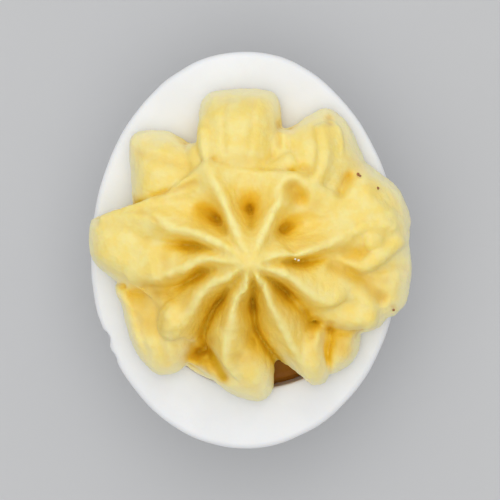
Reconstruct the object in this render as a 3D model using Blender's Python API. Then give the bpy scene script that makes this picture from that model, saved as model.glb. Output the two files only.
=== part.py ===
"""Deviled egg half: a trimmed half egg white with a piped, nine-ridged yolk filling.

Metres, +Z up.  The origin is the centre of the footprint, on the surface the egg
stands on.  +Y points to the narrow end of the egg.
"""
import bpy
import bmesh
import math
import numpy as np

# ---------------------------------------------------------------- egg white
EGG_LENGTH = 0.0560         # end to end, along Y
EGG_WIDTH = 0.0435          # widest, along X
EGG_TAPER = 0.034           # how much narrower the +Y end is
EGG_BLUNT = 0.012           # slight pinch of both ends
EGG_X = -0.0008             # long axis of the egg, across the footprint
FOOT_TRIM = 0.0010          # sliced off underneath so that the half stands still
RIM_ROUND = 0.0009          # soft edge between the skin and the cut face
RIM_STEPS = 3
EGG_COLUMNS, EGG_ROWS = 56, 30

# ------------------------------------------------------------- yolk hollow
HOLLOW_RADIUS = 0.0160      # at the cut face
HOLLOW_DEPTH = 0.0145
FIT_GAP = 0.0003            # between the filling and the white
SWIRL_X, SWIRL_Y = 0.00023, -0.00167   # centre of the piping
OFF_X, OFF_Y = 0.0006, -0.0017         # centre of the hollow from the centre of the piping
POCKET_ANGLE, POCKET_HALF = 288.0, 8.5 # where the hollow's edge is left open (degrees)
POCKET_DROP = 8.0                      # how far down the hollow's wall the filling starts there (degrees)

# ------------------------------------------------------------ piped filling
SWIRL_TOP = 0.0178          # peak above the cut face
LEAN_X, LEAN_Y = 0.0009, 0.0010        # how far the peak stands from above the piping's centre
LEAN_FROM = 0.004                      # height above the cut face where the lean starts
CREST_BLUNT = 0.18          # blunt top of a crest, as a share of the way to the furrow
COLUMNS_PER_RIDGE = 12
SWIRL_ROWS = 33
PLUG_SHARE = 0.27           # share of the rows that shape the plug in the hollow
PLUG_STEPS = (0, 0.25, 0.5, 0.75, 0.95, 1)   # control rings of the plug, bottom to mouth, as shares of a quarter turn
MOUTH_RING = len(PLUG_STEPS) - 1             # control ring at the mouth of the hollow
# One value for each of the nine ridges, anticlockwise from the right.
# Compass angle of the crest close to the peak, halfway, at the edge of the
# upper tier, and of the lobe that bulges out beneath it (degrees).
CREST_NEAR = (8, 65, 113, 143, 176, 209, 251, 297, 335)
CREST_HALF = (10, 66, 115, 152, 184, 218, 252, 293.5, 331)
CREST_EDGE = (17, 64, 113, 154, 189.5, 225, 255, 296, 335)
LOBE_ANGLE = (25, 60, 99, 133, 171, 222, 272, 312, 355)
CREST_REACH = (15, 13.6, 16.5, 16.8, 16.3, 14.3, 15.5, 17.8, 13.8)      # mm
CREST_HEIGHT = (11.5, 12.2, 10.8, 11, 11, 11, 9, 7, 10.5)               # mm
LOBE_REACH = (23.4, 23.9, 24.6, 24.6, 23.4, 20.9, 19.7, 20.6, 22.7)     # mm
LOBE_SQUARE = (2.6, 2.4, 3.4, 3.6, 3.0, 2.4, 2.2, 2.2, 2.8)             # 2 round, 4 squared
# The furrow that follows each ridge.
FURROW_NEAR = (47.7, 90, 129.6, 163.9, 198, 229, 272.5, 319.6, 362.2)
FURROW_HALF = (53, 90, 132, 166, 196, 236, 276, 317.5, 363.4)
FURROW_EDGE = (45, 88, 133, 169, 201, 242, 281, 316, 363)
NOTCH_ANGLE = (43.5, 76, 115, 153, 192, 243, 289, 331, 370)
FURROW_REACH = (12.8, 13.6, 14.4, 14.2, 13.0, 11.8, 12.2, 11.6, 12.4)   # mm
NOTCH_REACH = (20.3, 18.6, 18.8, 18, 18, 15.8, 15.3, 17, 20.8)          # mm
NOTCH_SINK = (0, 0, 0, 0, 0, 0, 1, 0, 0)                                # 1 where the notch drops into the hollow
MM = 0.001


def mouth_reach(angle, radius):
    """Distance from the piping's centre to a circle about the hollow's centre, in mm."""
    off, lean = math.hypot(OFF_X, OFF_Y) / MM, math.degrees(math.atan2(OFF_Y, OFF_X))
    turn = np.radians(np.asarray(angle, float) - lean)
    return off * np.cos(turn) + np.sqrt(radius ** 2 - (off * np.sin(turn)) ** 2)


def control_rings():
    """Rings of the filling from the bottom of the plug to the peak, in mm about
    the swirl's centre at cut-face height.  Each ring holds, for the nine ridges
    and the nine furrows, an angle, a radius and a height, and how far the section
    has gone from rounded lobes (0) to thin fins (1)."""
    an, ah, ae, al = (np.array(a, float) for a in (CREST_NEAR, CREST_HALF, CREST_EDGE, LOBE_ANGLE))
    fn, fh, fe, nl = (np.array(a, float) for a in (FURROW_NEAR, FURROW_HALF, FURROW_EDGE, NOTCH_ANGLE))
    rc, zc, rl = (np.array(a, float) for a in (CREST_REACH, CREST_HEIGHT, LOBE_REACH))
    rf, rn = (np.array(a, float) for a in (FURROW_REACH, NOTCH_REACH))
    plug, deep = (HOLLOW_RADIUS - FIT_GAP) / MM, (HOLLOW_DEPTH - FIT_GAP) / MM
    sink = np.array(NOTCH_SINK, float)
    rim = mouth_reach(nl, plug)
    one = np.ones(9)
    rings = []

    def ring(a, r, z, b, s, h, fin):
        rings.append((np.stack([a * one, r * one, z * one, b * one, s * one, h * one]), fin))

    def plug_ring(share):
        t = math.radians(share * 90)
        r, z = plug * math.sin(t), -deep * math.cos(t)
        ring(al, r, z, nl, r, z, 0)

    for share in PLUG_STEPS[:-1]:
        plug_ring(share)
    ring(al, mouth_reach(al, plug + 0.25), FIT_GAP / MM, nl, mouth_reach(nl, plug + 0.05), FIT_GAP / MM - 2.2 * sink, 0)
    # the lower tier: lobes lying on the cut face
    ring(al, np.maximum(rl * 0.84, mouth_reach(al, plug) + 0.4), 0.35,
         nl, rim + 0.2 + (rn - rim) * 0.5 - 0.1 * sink, 0.6 - 2.4 * sink, 0)
    ring(al, rl * 0.965, 1.3, nl, rn * 0.97 + 0.5 * sink, 1.8 - 2.2 * sink, 0.05)
    ring(al, rl, 3.3, nl, rn, 3.6, 0.10)
    ring(al, rl * 0.965, 5.4, nl, rn * 0.97, 5.0, 0.15)
    ring(al * 0.85 + ae * 0.15, rl * 0.86, 7.1, nl * 0.85 + fe * 0.15, rn * 0.88, 6.0, 0.2)
    ring(al * 0.6 + ae * 0.4, np.minimum(rl * 0.74, rc + 1.2), np.minimum(8.1, zc),
         nl * 0.6 + fe * 0.4, np.minimum(rn * 0.76, rf), 6.6, 0.25)
    ring(al * 0.3 + ae * 0.7, rc * 0.97, np.minimum(8.9, zc + 0.5),
         nl * 0.3 + fe * 0.7, rf - 0.9, 7.3, 0.35)
    # the upper tier: thin crests falling into deep furrows
    ring(ae, rc * 1.03, zc + 0.2, fe, rf - 0.1, 8.2, 0.5)
    ring(ae, rc * 0.99, zc + 1.4, fe, rf * 0.97, 9.0, 0.6)
    ring(ae * 0.5 + ah * 0.5, rc * 0.84, zc * 0.45 + 14.2 * 0.55, fe * 0.5 + fh * 0.5, rf * 0.84, 9.0, 0.8)
    ring(ah, rc * 0.64, zc * 0.12 + 15.6 * 0.88, fh, rf * 0.66, 7.6, 0.95)
    ring(ah * 0.5 + an * 0.5, rc * 0.2 + 4.2, 16.6, fh * 0.5 + fn * 0.5, 6.4, 6.8, 1)
    ring(an, 4.6, 17.2, fn, 4.5, 8.2, 1)
    ring(an, 2.6, 17.6, fn, 2.6, 13.0, 1)
    ring(an, 1.2, SWIRL_TOP / MM, fn, 1.2, 16.6, 1)
    ring(an, 0, SWIRL_TOP / MM, fn, 0, SWIRL_TOP / MM, 1)
    return np.stack([r[0] for r in rings]), np.array([r[1] for r in rings])


def through(rows, t):
    """Smooth curve through the rows at the positions t."""
    n = len(rows) - 1
    i = np.clip(np.floor(t).astype(int), 0, n - 1)
    f = (t - i).reshape(-1, *([1] * (rows.ndim - 1)))
    a, b, c, d = rows[np.clip(i - 1, 0, n)], rows[i], rows[i + 1], rows[np.clip(i + 2, 0, n)]
    return 0.5 * (2 * b + (c - a) * f + (2 * a - 5 * b + 4 * c - d) * f ** 2 + (3 * b - a - 3 * c + d) * f ** 3)


def plug_row(angle, share, mouth):
    """One row of the plug, share of a quarter turn up from its lowest point: on the hollow's
    wall less the gap, and a little above the cut face at the mouth, except in the pocket."""
    plug, deep = (HOLLOW_RADIUS - FIT_GAP) / MM, (HOLLOW_DEPTH - FIT_GAP) / MM
    away = (np.degrees(angle) - POCKET_ANGLE + 180) % 360 - 180
    pocket = np.exp(-(away / POCKET_HALF) ** 4)
    turn = np.radians(90 * share - POCKET_DROP * pocket * share ** 6)
    r, z = plug * np.sin(turn), -deep * np.cos(turn)
    if mouth:
        r = r * pocket + (plug + 0.15 * (1 - pocket) ** 8) * (1 - pocket)
        z = z * pocket + FIT_GAP / MM * (1 - pocket)
    return np.stack([OFF_X / MM + r * np.cos(angle), OFF_Y / MM + r * np.sin(angle), z], 1)


def swirl_points(per_ridge, rows):
    """Grid of points (rows + 1, 9 * per_ridge, 3) in mm; the first and last rows are poles."""
    rings, fins = control_rings()
    fine = np.linspace(0, len(rings) - 1, 2000)
    dense = through(rings, fine)
    crest = np.hypot(np.diff(dense[:, 1].mean(1)), np.diff(dense[:, 2].mean(1)))
    furrow = np.hypot(np.diff(dense[:, 4].mean(1)), np.diff(dense[:, 5].mean(1)))
    run = np.concatenate([[0], np.cumsum((crest + furrow) / 2)])
    mouth = np.interp(MOUTH_RING, fine, run)          # where the plug leaves the hollow
    below = round(rows * PLUG_SHARE)
    along = np.concatenate([np.linspace(0, mouth, below + 1), np.linspace(mouth, run[-1], rows - below + 1)[1:]])
    t = np.interp(along, run, fine)
    t[below] = MOUTH_RING
    at, fin = through(rings, t), np.interp(t, np.arange(len(rings)), fins)
    u = np.arange(9 * per_ridge) / per_ridge
    i = np.floor(u + 1e-9).astype(int)
    f = u - i
    j = (i + 1) % 9
    turn = np.where(j == 0, 360.0, 0.0)
    x = np.where(f <= 0.5, f * 2, (1 - f) * 2)
    blunt, bend = CREST_BLUNT, 2.6
    away = np.clip(((x ** bend + blunt ** bend) ** (1 / bend) - blunt) / ((1 + blunt ** bend) ** (1 / bend) - blunt), 0, 1)
    soft = 0.05
    x = (np.sqrt(x * x + soft * soft) - soft) / (math.sqrt(1 + soft * soft) - soft)
    square = np.array(LOBE_SQUARE)
    power = np.where(f <= 0.5, square[i], square[j])
    out = np.zeros((rows + 1, len(u), 3))
    for k in range(rows + 1):
        a, r, z, b, s, h = at[k]
        angle = np.radians(np.where(f <= 0.5, a[i] + (b[i] - a[i]) * f * 2,
                                    b[i] + (a[j] + turn - b[i]) * (f * 2 - 1)))
        top_r, top_z = np.where(f <= 0.5, r[i], r[j]), np.where(f <= 0.5, z[i], z[j])
        share = (1 - fin[k]) * (1 - x ** power) + fin[k] * (1 - away) ** 1.45
        radius, height = s[i] + (top_r - s[i]) * share, h[i] + (top_z - h[i]) * share
        out[k] = np.stack([radius * np.cos(angle), radius * np.sin(angle), height], 1)
        lean = np.clip((out[k, :, 2] - LEAN_FROM / MM) / ((SWIRL_TOP - LEAN_FROM) / MM), 0, 1)
        out[k, :, :2] += lean[:, None] * np.array([LEAN_X, LEAN_Y]) / MM
        if k <= below:                                # the plug follows the hollow's wall exactly
            out[k] = plug_row(angle, np.interp(t[k], range(MOUTH_RING + 1), PLUG_STEPS), k == below)
    return out


def material(name, colour, roughness, subsurface):
    m = bpy.data.materials.new(name)
    m.use_nodes = True
    p = m.node_tree.nodes["Principled BSDF"]
    p.inputs["Base Color"].default_value = (*colour, 1)
    p.inputs["Roughness"].default_value = roughness
    p.inputs["Metallic"].default_value = 0
    p.inputs["Subsurface Weight"].default_value = subsurface
    p.inputs["Subsurface Scale"].default_value = 0.002
    return m


def place(name, mesh, collection, location):
    o = bpy.data.objects.new(name, mesh)
    collection.objects.link(o)
    o.location = location
    return o


def egg_body():
    """Half of an egg-shaped ball, flat on top, with a soft rim and a small flat foot."""
    bm = bmesh.new()
    bmesh.ops.create_uvsphere(bm, u_segments=EGG_COLUMNS, v_segments=EGG_ROWS, radius=1)
    swell = EGG_WIDTH / 2 / (1 + 0.024)
    for v in bm.verts:
        x, y, z = v.co
        w = swell * 1.0247 * (1 - EGG_TAPER * y - EGG_BLUNT * y * y)
        v.co = (x * w, y * EGG_LENGTH / 2, z * w)

    def slice_off(height, outward):
        bmesh.ops.bisect_plane(bm, geom=bm.verts[:] + bm.edges[:] + bm.faces[:], dist=1e-7,
                               plane_co=(0, 0, height), plane_no=(0, 0, outward), clear_outer=True)
        edge = [e for e in bm.edges if e.is_boundary]
        bmesh.ops.holes_fill(bm, edges=edge, sides=0)
        return edge

    lowest = min(v.co.z for v in bm.verts)
    slice_off(lowest + FOOT_TRIM, -1)
    rim = slice_off(0, 1)
    bmesh.ops.bevel(bm, geom=rim, offset=RIM_ROUND, offset_type="OFFSET", segments=RIM_STEPS,
                    profile=0.5, affect="EDGES", clamp_overlap=True)
    bmesh.ops.remove_doubles(bm, verts=bm.verts[:], dist=1e-6)
    bmesh.ops.recalc_face_normals(bm, faces=bm.faces[:])
    mesh = bpy.data.meshes.new("egg_white")
    bm.to_mesh(mesh)
    bm.free()
    return mesh, lowest + FOOT_TRIM


def bowl(name, radius, depth):
    bm = bmesh.new()
    bmesh.ops.create_uvsphere(bm, u_segments=48, v_segments=24, radius=radius)
    bmesh.ops.scale(bm, vec=(1, 1, depth / radius), verts=bm.verts[:])
    mesh = bpy.data.meshes.new(name)
    bm.to_mesh(mesh)
    bm.free()
    return mesh


def swirl_body():
    """A ball drawn out into the piped shape: its columns run up the ridges and
    furrows, its rows run round them."""
    points = swirl_points(COLUMNS_PER_RIDGE, SWIRL_ROWS)
    columns = 9 * COLUMNS_PER_RIDGE
    bm = bmesh.new()
    bmesh.ops.create_uvsphere(bm, u_segments=columns, v_segments=SWIRL_ROWS, radius=1)
    for v in bm.verts:
        x, y, z = v.co
        row = round(math.acos(max(-1.0, min(1.0, -z))) / math.pi * SWIRL_ROWS)
        column = round(math.atan2(y, x) / (2 * math.pi) * columns) % columns
        v.co = points[row, column if 0 < row < SWIRL_ROWS else 0] * MM
    bmesh.ops.triangulate(bm, faces=bm.faces[:], quad_method="SHORT_EDGE")
    bmesh.ops.recalc_face_normals(bm, faces=bm.faces[:])
    mesh = bpy.data.meshes.new("filling")
    bm.to_mesh(mesh)
    bm.free()
    return mesh


def main():
    for o in list(bpy.data.objects):
        bpy.data.objects.remove(o)
    scene = bpy.context.scene
    parts = bpy.data.collections.new("deviled_egg")
    cutters = bpy.data.collections.new("cutters")
    scene.collection.children.link(parts)
    scene.collection.children.link(cutters)

    mesh, foot = egg_body()
    white = place("egg_white", mesh, parts, (EGG_X, 0, -foot))
    cut_face = -foot
    mesh.materials.append(material("cooked_white", (0.86, 0.85, 0.83), 0.4, 0.3))

    hollow = place("yolk_hollow", bowl("yolk_hollow", HOLLOW_RADIUS, HOLLOW_DEPTH), cutters,
                   (SWIRL_X + OFF_X, SWIRL_Y + OFF_Y, cut_face))
    hollow.hide_render = True
    hollow.display_type = "WIRE"
    cut = white.modifiers.new("hollow", "BOOLEAN")
    cut.operation = "DIFFERENCE"
    cut.solver = "EXACT"
    cut.object = hollow

    mesh = swirl_body()
    place("filling", mesh, parts, (SWIRL_X, SWIRL_Y, cut_face))
    mesh.materials.append(material("yolk_filling", (0.88, 0.68, 0.22), 0.5, 0.25))

    for o in parts.objects:
        o.data.shade_smooth()
    white.data.set_sharp_from_angle(angle=math.radians(50))


main()
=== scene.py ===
"""Deviled egg half: the looks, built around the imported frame.

Lengths in the sketch tables are millimetres about the swirl's centre, with z counted
from the egg white's cut face; everything is turned into metres in the frame's axes.
"""
import bpy, math
import numpy as np
from mathutils import Vector, Matrix, noise


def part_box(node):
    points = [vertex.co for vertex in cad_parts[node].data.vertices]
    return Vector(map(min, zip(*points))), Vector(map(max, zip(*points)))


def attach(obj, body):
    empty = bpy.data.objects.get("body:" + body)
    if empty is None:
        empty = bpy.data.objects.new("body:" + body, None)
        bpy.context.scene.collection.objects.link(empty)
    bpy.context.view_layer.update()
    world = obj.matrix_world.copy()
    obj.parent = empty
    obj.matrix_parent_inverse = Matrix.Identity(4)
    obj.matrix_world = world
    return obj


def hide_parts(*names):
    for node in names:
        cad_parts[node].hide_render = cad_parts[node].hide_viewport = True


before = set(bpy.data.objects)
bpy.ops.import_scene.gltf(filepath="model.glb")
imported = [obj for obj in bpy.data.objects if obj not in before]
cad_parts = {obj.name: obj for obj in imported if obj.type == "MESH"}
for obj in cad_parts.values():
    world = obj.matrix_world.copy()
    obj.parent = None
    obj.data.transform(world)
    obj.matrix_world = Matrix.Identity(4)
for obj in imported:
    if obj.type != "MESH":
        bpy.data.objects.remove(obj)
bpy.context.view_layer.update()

MM = 0.001
low_w, high_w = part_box("egg_white")
CUT = high_w.z                          # height of the cut face
SWIRL = (0.00023, -0.00167)             # centre of the yolk hollow and of the piping
HOLLOW = 16.0                           # radius of the hollow
VOXEL = 0.26                            # mesh size of the filling
HOLLOW_DEPTH = 14.5
HOLLOW_SHIFT = (0.6, -1.7)              # centre of the hollow from the swirl's
CREST_HALF = 0.45                       # half thickness of a crest's blunt top

YOLK, YOLK_DEEP, YOLK_CREST_HIGHLIGHT = (0.87, 0.745, 0.285), (0.875, 0.69, 0.19), (0.885, 0.785, 0.33)
YOLK_FLANK_SHADE, YOLK_SHADE = (0.93, 0.66, 0.105), (0.90, 0.635, 0.05)
YOLK_HOLE_SHADE, YOLK_POCKET_SHADE = (0.84, 0.55, 0.010), (0.36, 0.135, 0.004)
YOLK_FOLD_SHADE, YOLK_RIM_LIGHT = (0.76, 0.50, 0.075), (0.96, 0.865, 0.50)
YOLK_GROOVE_SHADE = (0.68, 0.41, 0.008)
NICKS = ((-20.9, -12.7, 0.9, 1.3), (-19.6, -15.3, 0.7, 0.5), (-21.6, -10.6, 0.6, 0.35))   # x, y, half width, depth

SHADE_AT, HOLE_SHADE_AT = (0.10, 0.95), (0.00, 0.30)   # share of open sky where painted shade sets in, then the darker painted shade of the holes

# Nine ridges of the piping, each a row of points from the peak outwards: x, y, z, half width of the crest.
RIDGES = (
    ((2.1, 1.1, 17.1, 0.5), (3.3, 1.3, 16.5, 0.45), (4.8, 1.9, 15.8, 0.4), (6.1, 2, 15.1, 0.4), (7.1, 1.8, 14.5, 0.4), (8.4, 2.2, 13.9, 0.45), (9.9, 2.7, 13.1, 0.5), (11.9, 3.4, 12.1, 0.6), (14.1, 4.6, 10.8, 0.7)),
    ((1.2, 1.6, 17.3, 0.5), (1.8, 3.2, 16.8, 0.8), (2.4, 4.6, 16.2, 1), (3.2, 6.3, 15.5, 1.15), (4, 8, 14.7, 1.25), (4.8, 9.7, 13.9, 1.3), (5.7, 11, 13.2, 1.3), (6.4, 12.2, 12.7, 1.1), (7, 13.1, 12, 0.8)),
    ((0.6, 1.6, 17.3, 0.5), (-0.1, 2.9, 17, 0.75), (-0.9, 4.2, 16.4, 0.95), (-1.8, 6.4, 15.6, 1.1), (-2.7, 8.4, 14.8, 1.15), (-3.8, 10.7, 13.6, 1.1), (-4.6, 12.2, 12.8, 1), (-5.1, 13.3, 12.2, 0.9), (-5.7, 14.6, 11.2, 0.8)),
    ((-0.2, 1.5, 17.2, 0.5), (-1.5, 2.5, 16.6, 0.6), (-3.3, 3.4, 15.8, 0.7), (-5.2, 4.1, 15, 0.85), (-7.1, 4.8, 14.1, 1), (-9, 5.3, 13.2, 1.1), (-10.7, 5.5, 12.4, 1), (-14.2, 7.3, 10.8, 0.9), (-20.9, 6.8, 7.6, 0.7)),
    ((-0.4, 0.9, 17.1, 0.5), (-1.8, 1, 16.6, 0.55), (-3.5, 1.2, 15.9, 0.55), (-5.1, 1.4, 15.1, 0.6), (-6.4, 1.1, 14.2, 0.65), (-8, 0.1, 13.1, 0.7), (-10, -0.9, 12, 0.7), (-13, -1.7, 10.6, 0.7), (-16.5, -2.1, 8.4, 0.7)),
    ((-0.2, 0.2, 17, 0.5), (-1.4, -0.4, 16.4, 0.8), (-2.6, -1.6, 15.6, 1.9), (-4, -1.8, 14.9, 1.8), (-5.2, -2.5, 14.1, 1.2), (-6.4, -3.9, 13.1, 0.85), (-7.6, -5.7, 12, 0.85), (-8.7, -7.2, 11, 0.9), (-9.8, -9.3, 9.4, 0.7)),
    ((0.4, -0.1, 17, 0.5), (0.3, -1.6, 16.3, 0.65), (0.3, -3, 15.5, 0.7), (-1.1, -4.2, 14.5, 1), (-1.9, -5.4, 13.9, 1), (-2.4, -7.5, 12.8, 0.9), (-2.9, -10.3, 11.2, 0.9), (-3, -14, 9, 0.9), (0.5, -18.4, 5, 0.9)),
    ((1.3, -0.1, 17, 0.5), (2, -1.5, 16.3, 0.5), (2.8, -2.7, 15.3, 0.55), (3.3, -4, 14.8, 0.6), (3.8, -5.7, 13.9, 0.7), (4.6, -7.6, 12.8, 0.8), (5.5, -9.6, 11.5, 0.8), (6.8, -12.2, 9.6, 0.8), (8.6, -16, 6.8, 0.8)),
    ((1.8, 0.5, 17, 0.5), (3, 0, 16.4, 0.55), (4.4, -0.4, 15.7, 0.6), (5.9, -1.1, 14.9, 0.7), (7.3, -2.2, 14, 0.9), (8.7, -3.5, 13, 1.1), (10, -4.6, 12.2, 1.2), (11.5, -5, 11.4, 1.1), (13.2, -4.8, 10.4, 0.9)),
)
# The valley after each ridge: leaf share of the flank before it and after it, then x, y, height,
# extra depth and radius of the hole at its bottom.
VALLEYS = (
    (0, 0, ((1.9, 1.8, 17, 0, 1), (2.6, 2.7, 16, 0, 1), (3.4, 3.7, 14.4, 0.3, 1), (4, 4.4, 13.1, 0.4, 0.8), (4.7, 5, 10.4, 2.8, 1), (6.6, 5.9, 9.8, 1.1, 1.5), (9.2, 6.4, 9.7, 0.3, 1.4), (12.3, 6.8, 9.8, 0, 1), (16.2, 7.4, 9.2, 0, 1))),
    (0, 0, ((0.9, 1.7, 17.1, 0, 1), (0.8, 3, 16.4, 0, 1), (0.7, 4.5, 15.2, 0.1, 1), (0.5, 6.1, 12.6, 1.3, 1.05), (0.2, 7.6, 10, 3.1, 1.3), (0.2, 9, 9.8, 0.9, 1.4), (0, 10.6, 10.3, 0.1, 1), (-0.3, 11.9, 10.5, 0, 1), (-0.6, 13.4, 10.7, 0, 1))),
    (0, 0.1, ((0.1, 1.8, 17.1, 0, 1), (-0.9, 2.7, 16.3, 0, 1), (-2.2, 4, 15, 0.3, 1), (-3.2, 5.3, 12.8, 1.2, 1), (-4.1, 6.3, 10, 3, 1.25), (-5.5, 7.2, 9.4, 1.6, 1.7), (-7.6, 8.3, 9.7, 0.3, 1.4), (-9.1, 9.1, 9.5, 0, 1), (-11, 10, 10.3, 0, 1))),
    (0.3, 0.6, ((-0.6, 1.2, 17.1, 0, 1), (-1.7, 1.6, 16.3, 0, 1), (-3.3, 2.1, 15, 0.2, 1), (-5.1, 2.6, 13.1, 0.5, 1), (-6.9, 2.8, 10.9, 1.5, 1.2), (-8.6, 2.9, 9.8, 1.9, 1.4), (-10.4, 3.1, 9.6, 0.9, 1.5), (-13.9, 3.3, 9.4, 0.1, 1.4), (-20.1, 3, 7.4, 0, 1))),
    (0, 0.4, ((-0.5, 0.4, 16.9, 0, 1), (-1.5, 0.2, 16, 0.1, 1), (-3.2, 0, 14.6, 0.3, 1), (-5, -0.4, 12.5, 0.9, 1.1), (-6.7, -1.2, 10.2, 2.2, 1.4), (-8.1, -2.1, 9.2, 1.5, 1.5), (-9.5, -2.9, 8.7, 0.9, 1.6), (-11.4, -4, 8.1, 0.4, 1.5), (-13.6, -4.2, 7.6, 0, 1))),
    (0.2, 0.6, ((-0.1, -0.3, 16.4, 0, 1), (-1, -1.2, 14.4, 0.7, 0.75), (-1.7, -2.1, 13.5, 0.7, 0.85), (-2.6, -3, 12, 1.5, 0.95), (-3.6, -4.8, 8.8, 3.3, 1.55), (-4.7, -5.9, 8, 2.8, 1.4), (-5.7, -7.8, 7, 2.4, 1.15), (-6.4, -9.7, 5.8, 2.4, 1.05), (-6.5, -11.4, 4.6, 2.2, 1))),
    (0.9, 0.1, ((0.8, -0.5, 15.7, 0.2, 0.8), (0.8, -1.7, 13.7, 0.7, 0.85), (0.6, -2.9, 11.4, 1.7, 1), (0.5, -4.1, 9.5, 3, 1.2), (0.4, -5.4, 8.4, 3.8, 1.5), (0.6, -7.1, 7.6, 2.2, 1.4), (0.9, -9, 6.8, 1.9, 1.35), (1.9, -11.1, 5.4, 1.9, 1.35), (3.6, -13.3, 2.2, 2.1, 1.4))),
    (0.9, 0.1, ((1.6, -0.1, 16.2, 0, 1), (2.3, -0.9, 14.6, 0.3, 0.9), (3.2, -1.8, 12.4, 1, 1), (4, -2.7, 10.4, 2.2, 1.2), (4.9, -3.5, 9.2, 2.6, 1.45), (6, -4.5, 8.8, 1.2, 1.4), (7, -5.4, 8.5, 0.7, 1.4), (7.6, -6.5, 8, 0.5, 1.3), (7.9, -8, 7.4, 0.4, 1))),
    (0.9, 0, ((2.4, 0.8, 16.4, 0, 1), (3.3, 0.7, 15.4, 0.2, 0.8), (4.6, 0.8, 14.3, 0.4, 0.9), (5.9, 0.8, 12.5, 1, 0.9), (7.1, 0.7, 11.1, 1.5, 0.95), (8.6, 0.9, 10.4, 1.3, 0.95), (10.3, 1.3, 10, 0.6, 1), (12.5, 1.4, 9.6, 0.3, 1), (15.3, -0.6, 8.6, 0, 1))),
)
# Crests outside the star: x, y, z, then width, drop and style of the left flank and of the right one.
FINS = {
    "curl": ((7, 13.1, 12.2, 1.4, 3.4, 0.2, 1.2, 4, 0.3), (7.7, 12.1, 11.8, 1.6, 3, 0.3, 1.2, 3.4, 0.4), (8.9, 11.6, 11.4, 1.9, 2.8, 0.3, 1.4, 3, 0.4), (10.1, 13, 11, 2.2, 2.6, 0.2, 1.9, 2.6, 0.3), (10.5, 15.2, 10.3, 2.8, 2.4, 0.1, 2.6, 2.3, 0.2), (10.4, 17.8, 9.3, 3, 2, 0.1, 2.8, 1.9, 0.2), (9.8, 19.9, 8.2, 2.4, 1.6, 0.3, 2.4, 1.6, 0.3)),
    "fold_e": ((13.9, 4.2, 10.8, 2.2, 2, 0.3, 1.4, 2.6, 0.6), (15.8, 5.4, 10.4, 2.2, 1.6, 0.3, 1.6, 2, 0.5), (18.4, 5.7, 9.6, 2, 1.4, 0.4, 1.6, 1.6, 0.5), (20.8, 5.2, 8.4, 1.6, 1.4, 0.6, 1.4, 1.4, 0.6)),
    "edge_n": ((-5.7, 14.6, 11.2, 1.2, 3, 0.5, 3.2, 2, 0), (-6, 17, 10.4, 1.2, 2.6, 0.7, 3.2, 1.4, 0), (-6, 19.1, 9.3, 1.1, 2.4, 0.9, 3, 1, 0), (-5.7, 21.1, 6.8, 1, 2.2, 1, 2.2, 0.9, 0)),
}
# Soft ropes: x, y, z, half width.
ROPES = {
    "curl_rim": ((11.9, 2, 9.6, 1.2), (13.3, 0.9, 10.2, 1.3), (15.8, 0.3, 10.4, 1.4), (18.1, 1.4, 9.9, 1.5), (20, 3, 8.7, 1.5), (21.5, 4.1, 7.2, 1.3)),
    "bulge": ((15.8, 3.8, 10, 1.6), (17.3, 3.7, 10.2, 1.9), (19.2, 3.8, 9, 1.8)),
    "knob": ((-9.6, -4.7, 9.8, 1.4), (-10.2, -6.5, 10.9, 1.9), (-10.6, -8.5, 10.9, 2), (-10.3, -10.4, 9.2, 1.5)),
    "knob_in": ((-8.3, -4.9, 10.2, 1), (-9.1, -6.7, 10.4, 1.3), (-9.6, -8.8, 9.6, 1.3)),
    "fill_n": ((2.3, 12.3, 9.6, 1.8), (4.9, 13.6, 9.8, 1.9), (7, 15.1, 9.2, 2)),
    "fill_nw": ((-6.5, 9.9, 9.4, 1.6), (-6.9, 13.4, 9.3, 1.7), (-7.1, 17, 8.2, 1.6)),
    "fill_ne": ((4.6, 11.6, 9, 1.6), (4.5, 15.1, 8.2, 1.6), (4.6, 18.9, 7.4, 1.4)),
    "fill_w": ((-11.4, -2.5, 7.6, 1.6), (-14.5, -2.5, 6.8, 1.7), (-17.3, -2.6, 5.8, 1.5)),
    "fill_slit": ((11.2, -11.2, 5.4, 1.5), (11.2, -13, 5, 1.5), (11.1, -14.8, 4, 1.4)),
    "fill_notch": ((-15.9, 8.8, 5.8, 1.4), (-14.1, 8.3, 6.2, 1.4)),
    "fill_e": ((11.2, 11.2, 9, 1.4), (12, 10, 9.3, 1.6)),
    "fill_sb": ((11.3, -8.8, 6.6, 1.4), (13.4, -8.9, 6.4, 1.5), (15.1, -8.8, 6, 1.3)),
    "fill_pit": ((-8.5, -12.4, 5, 1.6), (-6.8, -12.8, 3.4, 1.8), (-5.1, -12.5, 3.4, 1.8), (-2.8, -10.4, 5, 1.6)),
    "petal2": ((9.2, -6.1, 8.2, 1.6), (11.4, -6.5, 8.7, 2), (13.6, -6.7, 9, 2.2), (15.7, -6.6, 9, 2.4), (18.3, -6.9, 8.2, 2.2)),
    "fill_se": ((12.3, -2.7, 10, 2), (14.5, -3.1, 9.7, 2.4), (16.6, -4, 9.2, 2.6), (18.8, -4.5, 8.6, 2.4)),
    "curl_up": ((9.8, 12.1, 10.8, 1.2), (10.4, 13.9, 10.9, 1.3), (10.5, 15.9, 10.3, 1.35), (10.2, 18, 9.3, 1.4), (9.8, 19.9, 8.3, 1.3)),
}
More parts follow.
